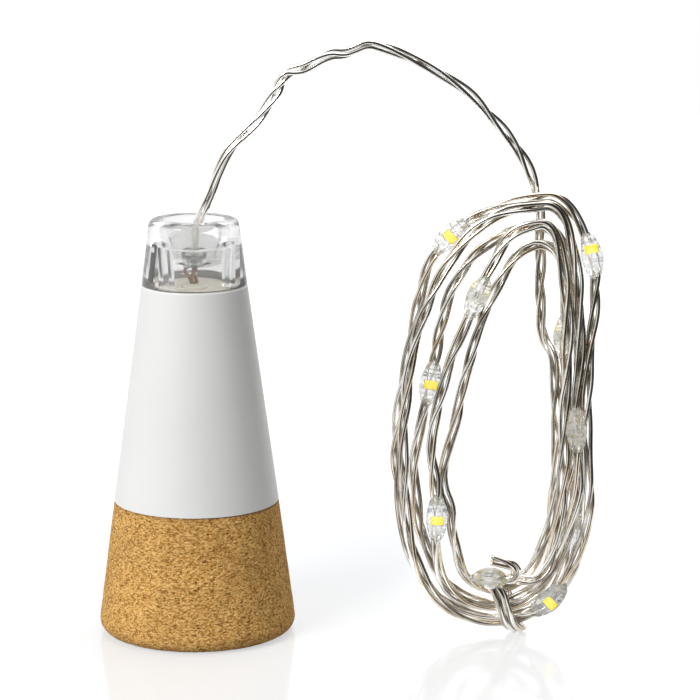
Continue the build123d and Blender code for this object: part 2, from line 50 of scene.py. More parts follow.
# Camera
CAMERA_AIM = Vector((0.0258, 0.0, 0.048))
CAMERA_ELEVATION = 11.5
CAMERA_DISTANCE = 0.52
CAMERA_LENS = 160.5
CAMERA_SENSOR = 36.0
CAMERA_CLIP = 0.01

# Strands' finishes, each from its tarnished to its bright tone
WIRE_STOPS = (0.32, 0.5, 0.68)
WIRE_TONES = {
    "silver_wire": ((0.70, 0.65, 0.57), (0.90, 0.88, 0.83), (0.97, 0.96, 0.93)),
    "silver_wire_warm": ((0.58, 0.48, 0.36), (0.80, 0.71, 0.58), (0.92, 0.86, 0.76)),
    "silver_wire_dull": ((0.34, 0.30, 0.25), (0.55, 0.51, 0.45), (0.72, 0.68, 0.62)),
}
WIRE_TARNISH_SIZE = 3.0
WIRE_GLOSS = (0.14, 0.07)
# Length of the cord, from the cup on, whose strands all have the first, brightest finish: painted light
# that draws the lone lead lighter than the hank, whose strands shade each other
LEAD_PAINTED_LIGHT_LENGTH = 0.092

# Cord: thin strands, one of each finish, loosely twisted
STRAND_COUNT = len(WIRE_TONES)
STRAND_RADIUS = 0.00036
STRAND_SIDES = 10
RING_STEP = 0.0004
ROUTE_RESOLUTION = 8
# How far the strands lie from the middle, across the hank's plane and along it
STRAND_DEPTH = 0.00038
STRAND_SPREAD = 0.00064
# How unevenly they lie, and the row and layer of noise that each unevenness is read from
STRAND_SLACK = 0.38
SLACK_PER_METRE = 130
SLACK_ROW_STEP = 7.3
SLACK_LAYER = 2.0
STRAND_WANDER = 0.9
WANDER_PER_METRE = 75
WANDER_ROW_STEP = 5.1
WANDER_LAYER = 6.0
TWIST_PITCH = 0.028
TWIST_CHANGE = 0.6
TWIST_PER_METRE = 28
TWIST_ROW = 0.5
TWIST_LAYER = 8.0
# Inside a drop the wires are bare, so thinner
BARE_SHARE = 0.30
BARE_HALF_LENGTH = 0.0022
BARE_FADE = 0.0012
# How much closer the strands lie in the clear cup, and where along the cord they part
GATHER_SHARE = 0.5
GATHER_START = 0.005
GATHER_END = 0.011
# Tight kink on the rising lead
KINK_PLACE = Vector((0.0148, 0.0005, 0.0930))
KINK_REACH = 0.0035
KINK_TWIST = 2.6

# Lead: from the cup's floor over the arch to the hank
LEAD_POINTS = [
    (0.0, 0.0, 0.0621),
    (0.0, 0.0, 0.0672),
    (0.0012, 0.0001, 0.0708),
    (0.0026, 0.0001, 0.0738),
    (0.0039, 0.0002, 0.0775),
    (0.0056, 0.0002, 0.0811),
    (0.0082, 0.0003, 0.0841),
    (0.0109, 0.0003, 0.0870),
    (0.0131, 0.0004, 0.0899),
    (0.0143, 0.0005, 0.0922),
    (0.0151, 0.0005, 0.0942),
    (0.0165, 0.0006, 0.0945),
    (0.0182, 0.0006, 0.0949),
    (0.0203, 0.0007, 0.0963),
    (0.0226, 0.0008, 0.0974),
    (0.0250, 0.0008, 0.0972),
    (0.0268, 0.0009, 0.0981),
    (0.0287, 0.0009, 0.0991),
    (0.0310, 0.0010, 0.0986),
    (0.0350, 0.0011, 0.0970),
    (0.0404, 0.0010, 0.0946),
    (0.0469, 0.0011, 0.0896),
    (0.0527, 0.0012, 0.0830),
    (0.0564, 0.0013, 0.0764),
    (0.0572, 0.0013, 0.0710),
]

# Hank: its turns wind out to the outer one and in again, in two layers
HANK_Y = -0.0030
HANK_ENTRY = Vector((0.0572, 0.0013, 0.0643))
OUTER_TURN = 3.0
OUTER_RANK = 2.75
LAST_RIGHT = 5.25
CLIMB_TURNS = 0.25
SIDE_LAYER_GAP = 0.0035
BOTTOM_LAYER_GAP = 0.0023
# Where each turn crosses its top, right, bottom and left, and how far one rank of
# the spiral moves it there
TOP_X = 0.0560
TOP_X_STEP = 0.0008
TOP_Z = 0.0660
TOP_STEP = 0.0030
TOP_LAYER_LIFT = 0.0020
RIGHT_X = 0.0605
RIGHT_Z = 0.0360
RIGHT_STEP = 0.0023
BOTTOM_X = 0.0500
BOTTOM_Z = 0.00750
BOTTOM_STEP = 0.0023
LEFT_INNER_X = 0.0418
LEFT_INNER_RANK = 0.5
LEFT_SPREAD = 0.0078
LEFT_SPREAD_RANKS = 2.0
LEFT_POWER = 0.62
LEFT_Z = 0.0230
LEFT_STEP = 0.0032
# How full the bend of a quarter turn is at its start and end, from the top,
# right, bottom and left, and how the two at the top change with a turn's rank
QUARTER_FULLNESS = [(0.90, 0.80), (0.62, 0.79), (0.71, 0.64), (0.18, 0.30)]
TOP_FULLNESS_STEP = -0.15
LEFT_FULLNESS_STEP = 0.44
LEFT_FULLNESS_MOST = 0.98
QUARTER_POINTS = 9
# Where the right-hand turns draw together, and by what share
WAIST_X = 0.0618
WAIST_Z = 0.0400
WAIST_REACH = 0.0110
WAIST_SHARE = 0.28
WAIST_SIDE = 0.0550
# How far the turns stray from their even lay, and where in the noise each quarter turn is
STRAY = 0.0015
STRAY_DEPTH_SHARE = 0.5
STRAY_PER_METRE = 42
STRAY_ALONG_STEP = 0.37
STRAY_ROW_STEP = 1.7
STRAY_LAYER = 7.7
STRAY_DEPTH_SHIFT = Vector((0, 0, 20.5))
# How much of the cord is drawn over to pass through a drop's place, and how often
DRAW_REACH = 0.016
DRAW_ROUNDS = 3

# Tie: the cord's end, wound twice round the foot of the hank
TIE_ENTRY = Vector((0.0557, -0.00555, 0.0096))
TIE_START = Vector((0.0535, -0.0053, 0.0097))
TIE_WRAPS = 2
TIE_X = 0.0507
TIE_PITCH = 0.0014
TIE_LEAN = 0.0048
TIE_MIDDLE_Z = 0.00545
TIE_HALF_DEPTH = 0.0031
TIE_HALF_HEIGHT = 0.0044
TIE_SQUARENESS = 4.0
TIE_POINTS = 20
TAIL_POINTS = [
    (0.0462, -0.0066, 0.0103),
    (0.0465, -0.0082, 0.0109),
    (0.0480, -0.0087, 0.0111),
    (0.0512, -0.0087, 0.0109),
    (0.0527, -0.0087, 0.0108),
    (0.0535, -0.0088, 0.0119),
    (0.0530, -0.0089, 0.0131),
    (0.0514, -0.0089, 0.0137),
    (0.0490, -0.0088, 0.0142),
]

# Drops
DROP_COUNT = 10
DROP_LENGTH = 0.0080
TAIL_DROP = "10"
TAIL_DROP_LENGTH = 0.0058
DROP_DIAMETER = 0.0036
DROP_END_DIAMETER = 0.0011
DROP_FULLNESS = 0.72
DROP_LUMP = 0.07
DROP_LUMPS_PER_METRE = 380
DROP_RINGS = 26
DROP_SIDES = 24

# Chips: a pale base, a yellow face a little smaller than it and a green mark behind
CHIP_ACROSS = 0.0023
CHIP_ALONG = 0.0015
CHIP_THICKNESS = 0.00035
CHIP_HEIGHT = 0.00138
CHIP_BASE_SHARE = 0.4
CHIP_FACE_ACROSS_SHARE = 0.92
CHIP_FACE_ALONG_SHARE = 0.88
CHIP_MARK = 0.0005
CHIP_MARK_SHARE = 0.1
# Points of the line, each way, that give a chip its heading
CHIP_HEADING_POINTS = 2
# Chips that sit off the middle of their drop, along the cord
CHIP_SHIFT = {"05": -0.0012}
PHOSPHOR_GRAIN = 0.25
PHOSPHOR_TONES = [(0.3, (0.93, 0.70, 0.01)), (0.7, (1.0, 0.82, 0.05))]
# Painted glow of the chip's yellow face, standing in for the light that the clear drop keeps off it
PHOSPHOR_PAINTED_GLOW = (1.0, 0.78, 0.02)
PHOSPHOR_PAINTED_GLOW_STRENGTH = 0.4

# Box: the corners of its foot, and its faces, numbered foot first
BOX_CORNERS = ((-1, -1), (1, -1), (1, 1), (-1, 1))
BOX_FACES = ((3, 2, 1, 0), (4, 5, 6, 7), (0, 1, 5, 4), (1, 2, 6, 5), (2, 3, 7, 6), (3, 0, 4, 7))

# Cork: as tall as its CAD node, as wide as the body where they meet, and hollow for the insert
CORK_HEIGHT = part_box("cork_cap")[1][2]
CORK_BASE_RADIUS = 0.0168
CORK_TOP_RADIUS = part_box("body_shell")[1][0]
CORK_EDGE_RADIUS = 0.0022
CORK_LIP = 0.0003
INSERT_CLEARANCE = 0.0001
RECESS_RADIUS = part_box("cap_insert")[1][0] + INSERT_CLEARANCE
RECESS_FLOOR = 0.0180
SLOT_WIDTH = 0.0153
SLOT_DEPTH = 0.0078
SLOT_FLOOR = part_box("cap_insert")[0][2] - INSERT_CLEARANCE
CORK_SIDES = 360
CORK_STEP = 0.0003
PIT_DEPTH = 0.00014
PITS_PER_METRE = 2600
SWELL_DEPTH = 0.00006
SWELLS_PER_METRE = 450

# Cork's finish: the tones of its granules, and the marks over them, each with the noise
# that it follows, the range of that noise, its share at both ends of the range, and its colour
CORK_TONES = [(0.34, (0.50, 0.228, 0.045)), (0.48, (0.67, 0.338, 0.078)), (0.66, (0.86, 0.485, 0.140))]
CORK_MARKS = [
    ("flecks", (0.38, 0.47), (1.0, 0.0), (0.15, 0.055, 0.010)),
    ("flecks", (0.515, 0.58), (0.0, 1.0), (0.98, 0.645, 0.245)),
    ("pores", (0.285, 0.335), (0.85, 0.0), (0.09, 0.035, 0.008)),
    ("patches", (0.35, 0.65), (0.22, 0.0), (0.34, 0.18, 0.055)),
]
GRANULE_SIZE = 1.2
FLECK_SIZE = 0.34
FLECK_SLANT = (0.0, math.radians(-35), math.radians(10))
FLECK_STRETCH = (0.62, 0.75, 1.35)
FLECK_BUMP = 0.8
FLECK_HEIGHT = 0.0003
PORE_SIZE = 0.8
PATCH_SIZE = 8.0
# Painted shade along the joint with the body, standing in for the shadow in the gap there:
# its depth and unevenness in millimetres, and how strong it is from its foot to its top
JOINT_SHADE_DEPTH = 0.5
JOINT_SHADE_UNEVENNESS = 0.25
JOINT_SHADE_COLOUR = (0.10, 0.055, 0.03)
JOINT_SHADE_STRENGTH = [(0.0, 0.0), (0.6, 0.5), (0.8, 0.5), (1.0, 0.0)]

# Other finishes
NOISE_RANGE = (0.3, 0.7)
PLAIN_GRAIN = 0.4
PLAIN_PATCH = 2.4
PLAIN_GLOSS = (0.85, 1.2)
PLAIN_BUMP = 0.1
PLAIN_HEIGHT = 0.00005
WHITE_TONES = [(0.3, (0.80, 0.80, 0.78)), (0.7, (0.83, 0.83, 0.81))]
WHITE_PATCH = 14.0
WHITE_GRAIN = 0.5
WHITE_GLOSS = (0.38, 0.48)
WHITE_BUMP = 0.04
WHITE_HEIGHT = 0.00004
CLEAR_GLOSS = (0.5, 1.6)
CLEAR_BUMP = 0.08
CLEAR_HEIGHT = 0.0002
COPPER_TONES = [(0.32, (0.10, 0.045, 0.02)), (0.5, (0.30, 0.165, 0.075)), (0.68, (0.55, 0.38, 0.20))]
COPPER_STAIN_SIZE = 1.2
COPPER_GLOSS = (0.42, 0.3)

# Glue round the wires, on the frame's top
SEAL_RADIUS = 0.0023
SEAL_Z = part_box("core_frame")[1][2]
SEAL_HEIGHT = 0.0006
SEAL_ROUNDNESS = 0.9
SEAL_RINGS = 5
SEAL_SIDES = 32

# Strands inside the tip, from the grommet through the frame's hole to the board
TIP_WIRE_RADIUS = 0.00028
TIP_WIRE_STEP = 0.0003
TIP_WIRE_SIDES = 12
TIP_WIRES = [
    [
        (-0.0003, 0.0002, 0.0621),
        (-0.0007, -0.0001, 0.0617),
        (-0.0014, -0.0004, 0.0617),
        (-0.0017, -0.0006, 0.0610),
        (-0.0010, -0.0006, 0.0603),
        (-0.0005, -0.0004, 0.0593),
        (-0.0004, -0.0004, 0.0582),
        (-0.0009, -0.0010, 0.0546),
        (-0.0018, -0.00365, 0.0538),
        (-0.0018, -0.00365, 0.0516),
    ],
    [
        (0.0003, 0.0002, 0.0621),
        (0.0004, -0.0002, 0.0615),
        (-0.0001, -0.0004, 0.0608),
        (-0.0004, -0.0006, 0.0601),
        (0.0000, -0.0005, 0.0592),
        (0.0001, -0.0004, 0.0582),
        (0.0000, -0.0010, 0.0546),
        (0.0000, -0.00365, 0.0538),
        (0.0000, -0.00365, 0.0516),
    ],
    [
        (0.0000, -0.0004, 0.0621),
        (-0.0002, -0.0001, 0.0611),
        (0.0001, 0.0001, 0.0600),
        (0.0004, 0.0001, 0.0592),
        (0.0005, 0.0000, 0.0582),
        (0.0009, -0.0010, 0.0546),
        (0.0018, -0.00365, 0.0538),
        (0.0018, -0.00365, 0.0516),
    ],
]

# Painted dark reflection: a black sheet behind the tip's wall, to the left of the front, that stands in for
# a dark reflection seen in the clear tip
PAINTED_REFLECTION_RADIUS = 0.00735
PAINTED_REFLECTION_TAPER = 0.13
PAINTED_REFLECTION_ANGLE = 64.0
PAINTED_REFLECTION_SPAN = 11.0
PAINTED_REFLECTION_LOW = 0.0602
PAINTED_REFLECTION_HIGH = 0.0663
PAINTED_REFLECTION_THICKNESS = 0.0003
PAINTED_REFLECTION_COLUMNS = 8

# Stage
FLOOR_LEFT = -0.50
FLOOR_RIGHT = 0.16
FLOOR_FRONT = -0.065
FLOOR_BACK = 0.80
FLOOR_COLOUR = (0.30, 0.30, 0.30, 1.0)
FLOOR_ROUGHNESS = 0.9
WHITE = (1.0, 1.0, 1.0, 1.0)
# How bright the floor shows under the object, and how far from it that turns to white
FLOOR_CENTRE = (0.025, 0.0, 0.0)
FLOOR_GLOW = 0.68
SHADOW_REACH = (0.06, 0.22)
# Where the floor fades to plain white, towards its front and right-hand edges
FRONT_FADE = (-0.044, -0.062)
RIGHT_FADE = (0.115, 0.157)
FLOOR_MIRROR = 0.15
MIRROR_COLOUR = (0.87, 0.93, 1.0, 1.0)
MIRROR_ROUGHNESS = 0.12
WORLD_LIGHT = 0.26
# Which side of the room is bright in mirrors, where it turns dark, and how dark
BRIGHT_SIDE = (-0.80, 0.60, 0.30)
DARK_TURN = (-0.40, 0.05)
DARK_SIDE = 0.05
# Each lamp's name, place, width and power
LAMPS = [
    ("key", (-0.49, -0.545, 0.58), 0.40, 7.2),
    ("top", (0.10, 0.10, 0.80), 0.60, 3.0),
    ("back", (0.25, 0.60, 0.42), 0.50, 1.2),
]


def new_material(name):
    """New node material and its principled shader."""
    material = bpy.data.materials.new(name)
    material.use_nodes = True
    return material, material.node_tree.nodes["Principled BSDF"]


def add_node(owner, kind, inputs=None, **settings):
    """One node of a material or world, with its settings and input values."""
    node = owner.node_tree.nodes.new(kind)
    for key, value in settings.items():
        setattr(node, key, value)
    for key, value in (inputs or {}).items():
        node.inputs[key].default_value = value
    return node


def join(owner, output, target):
    """Link between two sockets."""
    owner.node_tree.links.new(output, target)


def math_node(owner, operation, first, second):
    """Sum, product or the like of two values, each a socket or a number."""
    node = add_node(owner, "ShaderNodeMath", operation=operation)
    for index, value in enumerate((first, second)):
        if isinstance(value, bpy.types.NodeSocket):
            join(owner, value, node.inputs[index])
        else:
            node.inputs[index].default_value = value
    return node.outputs[0]


def map_range(owner, value, low, high, start, end):
    """Value moved from one range to another."""
    values = {"From Min": low, "From Max": high, "To Min": start, "To Max": end}
    node = add_node(owner, "ShaderNodeMapRange", values)
    join(owner, value, node.inputs["Value"])
    return node.outputs["Result"]


def split_place(material, place):
    """X, Y and Z of a place."""
    node = add_node(material, "ShaderNodeSeparateXYZ")
    join(material, place, node.inputs[0])
    return node.outputs


def millimetres(material):
    """Object coordinates in millimetres."""
    place = add_node(material, "ShaderNodeTexCoord")
    scale = add_node(material, "ShaderNodeVectorMath", {1: (MILLIMETRES,) * 3}, operation="MULTIPLY")
    join(material, place.outputs["Object"], scale.inputs[0])
    return scale.outputs[0]


def noise_texture(material, coordinates, size, detail=3.0, roughness=0.55, distortion=0.0):
    """Noise whose blobs are about a size in millimetres."""
    values = {"Scale": 1 / size, "Detail": detail, "Roughness": roughness, "Distortion": distortion}
    texture = add_node(material, "ShaderNodeTexNoise", values)
    join(material, coordinates, texture.inputs["Vector"])
    return texture.outputs["Fac"]


def ramp(material, value, stops):
    """Colour ramp over a value."""
    node = add_node(material, "ShaderNodeValToRGB")
    band = node.color_ramp
    while len(band.elements) < len(stops):
        band.elements.new(0.5)
    for element, (place, colour) in zip(band.elements, stops):
        element.position = place
        element.color = (*colour, 1.0)
    join(material, value, node.inputs["Fac"])
    return node.outputs["Color"]


def mix_colour(material, share, colour, other):
    """Colour mixed with a share of a plain one."""
    node = add_node(material, "ShaderNodeMix", data_type="RGBA")
    join(material, share, node.inputs[0])
    join(material, colour, node.inputs[6])
    node.inputs[7].default_value = (*other, 1.0)
    return node.outputs[2]


def add_gloss(material, shader, value, start, end):
    """Roughness that follows a noise."""
    join(material, map_range(material, value, *NOISE_RANGE, start, end), shader.inputs["Roughness"])


def add_bump(material, shader, height, strength, distance):
    """Bump from a height."""
    bump = add_node(material, "ShaderNodeBump", {"Strength": strength, "Distance": distance})
    join(material, height, bump.inputs["Height"])
    join(material, bump.outputs["Normal"], shader.inputs["Normal"])


def plain_material(name, colour, roughness, metallic=0.0, change=0.12):
    """Moulded or rolled finish: slight changes of tone and gloss, and a fine grain."""
    material, shader = new_material(name)
    coordinates = millimetres(material)
    tone = noise_texture(material, coordinates, PLAIN_PATCH)
    fine = noise_texture(material, coordinates, PLAIN_GRAIN)
    darker = tuple(channel * (1 - change) for channel in colour)
    stops = list(zip(NOISE_RANGE, (darker, colour)))
    join(material, ramp(material, tone, stops), shader.inputs["Base Color"])
    smoothest, roughest = PLAIN_GLOSS
    add_gloss(material, shader, fine, roughness * smoothest, min(1.0, roughness * roughest))
    shader.inputs["Metallic"].default_value = metallic
    add_bump(material, shader, fine, PLAIN_BUMP, PLAIN_HEIGHT)
    return material


def joint_shade_share(material, coordinates, granules):
    """How strong the painted shade along the cork's joint with the body is."""
    uneven = map_range(material, granules, *NOISE_RANGE, -JOINT_SHADE_UNEVENNESS, JOINT_SHADE_UNEVENNESS)
    height = math_node(material, "ADD", split_place(material, coordinates)["Z"], uneven)
    top = CORK_HEIGHT * MILLIMETRES
    share = map_range(material, height, top - JOINT_SHADE_DEPTH, top, 0.0, 1.0)
    return ramp(material, share, [(place, (strength,) * 3) for place, strength in JOINT_SHADE_STRENGTH])


def cork_material():
    """Fine pressed cork: small granules with dark flecks and pale specks between them, and painted shade
    along its joint with the body.
    """
    material, shader = new_material("cork")
    coordinates = millimetres(material)
    slant = add_node(material, "ShaderNodeMapping", {"Rotation": FLECK_SLANT, "Scale": FLECK_STRETCH})
    join(material, coordinates, slant.inputs["Vector"])
    slanted = slant.outputs["Vector"]
    granules = noise_texture(material, coordinates, GRANULE_SIZE, roughness=0.65)
    textures = {
        "flecks": noise_texture(material, slanted, FLECK_SIZE, detail=4.0, roughness=0.70, distortion=0.6),
        "pores": noise_texture(material, coordinates, PORE_SIZE, detail=2.0, roughness=0.7, distortion=0.8),
        "patches": noise_texture(material, coordinates, PATCH_SIZE, detail=2.0),
    }
    colour = ramp(material, granules, CORK_TONES)
    for texture, reach, shares, mark in CORK_MARKS:
        share = map_range(material, textures[texture], *reach, *shares)
        colour = mix_colour(material, share, colour, mark)
    # Painted shade of the gap along the joint with the body: a dark band just under the lip
    colour = mix_colour(material, joint_shade_share(material, coordinates, granules), colour, JOINT_SHADE_COLOUR)
    join(material, colour, shader.inputs["Base Color"])
    shader.inputs["Roughness"].default_value = 0.82
    shader.inputs["Specular IOR Level"].default_value = 0.25
    add_bump(material, shader, textures["flecks"], FLECK_BUMP, FLECK_HEIGHT)
    return material


def white_material():
    """Satin white plastic with a faint moulded skin."""
    material, shader = new_material("white_plastic")
    coordinates = millimetres(material)
    tone = noise_texture(material, coordinates, WHITE_PATCH, detail=2.0)
    fine = noise_texture(material, coordinates, WHITE_GRAIN)
    join(material, ramp(material, tone, WHITE_TONES), shader.inputs["Base Color"])
    add_gloss(material, shader, fine, *WHITE_GLOSS)
    shader.inputs["Specular IOR Level"].default_value = 0.3
    add_bump(material, shader, fine, WHITE_BUMP, WHITE_HEIGHT)
    return material


def clear_material(name, colour, roughness, wave, ior, clearness=1.0):
    """Clear moulding with slight flow waves."""
    material, shader = new_material(name)
    flow = noise_texture(material, millimetres(material), wave, detail=1.0)
    smoothest, roughest = CLEAR_GLOSS
    add_gloss(material, shader, flow, roughness * smoothest, roughness * roughest)
    shader.inputs["Base Color"].default_value = (*colour, 1.0)
    shader.inputs["Transmission Weight"].default_value = clearness
    shader.inputs["IOR"].default_value = ior
    add_bump(material, shader, flow, CLEAR_BUMP, CLEAR_HEIGHT)
    return material


def wire_material(name, tones):
    """Silver-plated wire, from its tarnished to its bright tone along it."""
    material, shader = new_material(name)
    tarnish = noise_texture(material, millimetres(material), WIRE_TARNISH_SIZE)
    join(material, ramp(material, tarnish, list(zip(WIRE_STOPS, tones))), shader.inputs["Base Color"])
    shader.inputs["Metallic"].default_value = 1.0
    add_gloss(material, shader, tarnish, *WIRE_GLOSS)
    return material


def copper_material():
    """Lacquered copper of the wires inside the tip."""
    material, shader = new_material("copper_wire")
    stain = noise_texture(material, millimetres(material), COPPER_STAIN_SIZE, detail=2.0)
    join(material, ramp(material, stain, COPPER_TONES), shader.inputs["Base Color"])
    shader.inputs["Metallic"].default_value = 0.6
    add_gloss(material, shader, stain, *COPPER_GLOSS)
    return material


def phosphor_material():
    """Yellow light-chip coating, with a painted glow that stands in for the light the clear drop keeps off
    it.
    """
    material, shader = new_material("phosphor")
    grain = noise_texture(material, millimetres(material), PHOSPHOR_GRAIN, detail=2.0)
    join(material, ramp(material, grain, PHOSPHOR_TONES), shader.inputs["Base Color"])
    shader.inputs["Roughness"].default_value = 0.5
    # Painted glow: the light that the drop keeps off the chip's face
    shader.inputs["Emission Color"].default_value = (*PHOSPHOR_PAINTED_GLOW, 1.0)
    shader.inputs["Emission Strength"].default_value = PHOSPHOR_PAINTED_GLOW_STRENGTH
    return material


def add_object(name, data):
    """New object in the scene."""
    made = bpy.data.objects.new(name, data)
    bpy.context.scene.collection.objects.link(made)
    return made


def new_piece(name, vertices, faces, materials, slots=None, smooth=True):
    """Mesh piece that rides on the lamp, with the number of each face's material if there are several."""
    mesh = bpy.data.meshes.new(name)
    mesh.from_pydata([tuple(vertex) for vertex in vertices], [], faces)
    for material in materials:
        mesh.materials.append(material)
    if slots:
        mesh.polygons.foreach_set("material_index", slots)
    mesh.update()
    if smooth:
        mesh.shade_smooth()
    piece = add_object(name, mesh)
    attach(piece, "lamp")
    return piece


def hank_rank(turn):
    """How far out a turn of the hank lies, in turns of its spiral."""
    return OUTER_RANK - abs(turn - OUTER_TURN)


def hank_station(turn):
    """Point and heading where the hank crosses a quarter turn."""
    rank = hank_rank(turn)
    layer = max(-1.0, min(1.0, (turn - OUTER_TURN) / CLIMB_TURNS))
    side_y = HANK_Y - layer * SIDE_LAYER_GAP / 2
    quarter = round(4 * turn) % 4
    if quarter == 0:
        top_z = TOP_Z + TOP_STEP * rank + layer * TOP_LAYER_LIFT
        return Vector((TOP_X + TOP_X_STEP * rank, side_y, top_z)), Vector((1, 0, 0))
    if quarter == 1:
        return Vector((RIGHT_X + RIGHT_STEP * rank, side_y, RIGHT_Z)), Vector((0, 0, -1))
    if quarter == 2:
        bottom_y = HANK_Y - layer * BOTTOM_LAYER_GAP / 2
        return Vector((BOTTOM_X, bottom_y, BOTTOM_Z - BOTTOM_STEP * rank)), Vector((-1, 0, 0))
    spread = LEFT_SPREAD * ((rank - LEFT_INNER_RANK) / LEFT_SPREAD_RANKS) ** LEFT_POWER
    return Vector((LEFT_INNER_X - spread, side_y, LEFT_Z + LEFT_STEP * rank)), Vector((0, 0, 1))


def quarter_fullness(quarter):
    """How full the bend of a quarter turn is at its start and end."""
    start, end = QUARTER_FULLNESS[quarter % 4]
    rank = hank_rank(quarter / 4)
    if quarter % 4 == 0:
        start += TOP_FULLNESS_STEP * rank
    elif quarter % 4 == 3:
        end = min(LEFT_FULLNESS_MOST, end + LEFT_FULLNESS_STEP * rank)
    return start, end


def bend_point(start, near, far, end, gone):
    """Point at a share of the way along a bend that two guide points shape."""
    left = 1 - gone
    return (
        start * left**3
        + near * 3 * left * left * gone
        + far * 3 * left * gone * gone
        + end * gone**3
    )


def waisted(point):
    """Point of the hank, drawn in at the waist if it is on the right-hand side."""
    if point.x <= WAIST_SIDE:
        return point
    drawn = math.exp(-((point.z - WAIST_Z) / WAIST_REACH) ** 2)
    return Vector((point.x + (WAIST_X - point.x) * WAIST_SHARE * drawn, point.y, point.z))


def strayed(point, quarter):
    """Point of the hank, moved off its even lay."""
    along = quarter * STRAY_ALONG_STEP + point.z * STRAY_PER_METRE
    place = Vector((along, quarter * STRAY_ROW_STEP, STRAY_LAYER))
    across = noise.noise(place)
    deep = noise.noise(place + STRAY_DEPTH_SHIFT) * STRAY_DEPTH_SHARE
    return point + Vector((across, deep, 0)) * STRAY


def hank_points():
    """Points of the hank's turns, from its entry to where the tie starts."""
    stations = [(HANK_ENTRY, Vector((0, 0, -1)))]
    stations += [hank_station(quarter / 4) for quarter in range(1, round(4 * LAST_RIGHT) + 1)]
    stations.append((TIE_ENTRY, Vector((-1, 0, 0))))
    points = []
    for quarter, ((start, start_way), (end, end_way)) in enumerate(zip(stations, stations[1:])):
        start_fullness, end_fullness = quarter_fullness(quarter)
        run = end - start
        near = start + start_way * start_fullness * abs(run.dot(start_way))
        far = end - end_way * end_fullness * abs(run.dot(end_way))
        for step in range(QUARTER_POINTS):
            point = bend_point(start, near, far, end, step / QUARTER_POINTS)
            points.append(strayed(waisted(point), quarter))
    return points


def squared(value):
    """Sine or cosine of a ring with squarer corners than a circle's."""
    return math.copysign(abs(value) ** (2 / TIE_SQUARENESS), value)


def tie_points():
    """Points of the tie's wraps, from the top of the bundle round its back, and of the tail."""
    points = [TIE_ENTRY, TIE_START]
    for step in range(1, TIE_WRAPS * TIE_POINTS - 1):
        share = step / TIE_POINTS
        angle = 2 * math.pi * share
        x = TIE_X - TIE_PITCH * share + TIE_LEAN * math.sin(angle / 2) ** 2
        y = HANK_Y + TIE_HALF_DEPTH * squared(math.sin(angle))
        z = TIE_MIDDLE_Z + TIE_HALF_HEIGHT * squared(math.cos(angle))
        points.append(Vector((x, y, z)))
    return points + [Vector(point) for point in TAIL_POINTS]


def smooth_line(route):
    """Points along the smooth line that a route's points control."""
    curve = bpy.data.curves.new("route", "CURVE")
    curve.dimensions = "3D"
    curve.resolution_u = ROUTE_RESOLUTION
    spline = curve.splines.new("NURBS")
    spline.points.add(len(route) - 1)
    for point, place in zip(spline.points, route):
        point.co = (*place, 1.0)
    spline.order_u = 3
    spline.use_endpoint_u = True
    holder = bpy.data.objects.new("route", curve)
    mesh = bpy.data.meshes.new_from_object(holder)
    points = [vertex.co.copy() for vertex in mesh.vertices]
    bpy.data.objects.remove(holder)
    bpy.data.curves.remove(curve)
    bpy.data.meshes.remove(mesh)
    return points


def even_points(points, step):
    """Points a step apart along a line of points."""
    evened = [points[0]]
    left = step
    for start, end in zip(points, points[1:]):
        length = (end - start).length
        while left <= length:
            evened.append(start.lerp(end, left / length))
            left += step
        left -= length
    return evened


def carried_frames(points):
    """Heading and two side directions at each point, turning as little as they can."""
    frames = []
    side = Vector((0, 1, 0))
    for index in range(len(points)):
        before = points[max(index - 1, 0)]
        after = points[min(index + 1, len(points) - 1)]
        heading = (after - before).normalized()
        side = (side - heading * side.dot(heading)).normalized()
        frames.append((heading, side, heading.cross(side)))
    return frames


def round_ring(centre, side, other, radius, sides):
    """Points of a circle."""
    angles = [2 * math.pi * corner / sides for corner in range(sides)]
    return [centre + (side * math.cos(angle) + other * math.sin(angle)) * radius for angle in angles]


def tube_rings(centres, radii, sides):
    """Rings of a round tube along points, each with its radius."""
    rings = []
    for centre, radius, (_, side, other) in zip(centres, radii, carried_frames(centres)):
        rings.append(round_ring(centre, side, other, radius, sides))
    return rings


def capped_tubes(tubes):
    """Points and faces of closed tubes, each a list of rings that all have as many points."""
    vertices, faces = [], []
    for rings in tubes:
        sides = len(rings[0])
        first = len(vertices)
        for ring in rings:
            vertices.extend(ring)
        for index in range(len(rings) - 1):
            low = first + index * sides
            for corner in range(sides):
                following = (corner + 1) % sides
                faces.append((low + corner, low + following, low + sides + following, low + sides + corner))
        last = first + (len(rings) - 1) * sides
        faces.append(tuple(first + corner for corner in reversed(range(sides))))
        faces.append(tuple(last + corner for corner in range(sides)))
    return vertices, faces


def box_points(width, length, low, high):
    """Corners of a box that stands on the middle of the XY plane."""
    return [Vector((x * width / 2, y * length / 2, z)) for z in (low, high) for x, y in BOX_CORNERS]


def bareness(index, drops):
    """How far a place on the cord is inside a drop, from 0 to 1."""
    apart = min(abs(index - drop) for drop in drops) * RING_STEP
    share = max(0.0, min(1.0, 1 - (apart - BARE_HALF_LENGTH) / BARE_FADE))
    return share * share * (3 - 2 * share)


def gathered(along):
    """How widely the strands are spread at a length along the cord, up to 1."""
    share = max(0.0, min(1.0, (along - GATHER_START) / (GATHER_END - GATHER_START)))
    return GATHER_SHARE + (1 - GATHER_SHARE) * share


def strand_turns(line):
    """Angle that the strands have turned by at each point of the cord's line."""
    turns = []
    turn = 0.0
    for index, point in enumerate(line):
        uneven = noise.noise(Vector((index * RING_STEP * TWIST_PER_METRE, TWIST_ROW, TWIST_LAYER)))
        kinked = KINK_TWIST * math.exp(-((point - KINK_PLACE).length / KINK_REACH) ** 2)
        turn += 2 * math.pi * RING_STEP / TWIST_PITCH * (1 + TWIST_CHANGE * uneven + kinked)
        turns.append(turn)
    return turns


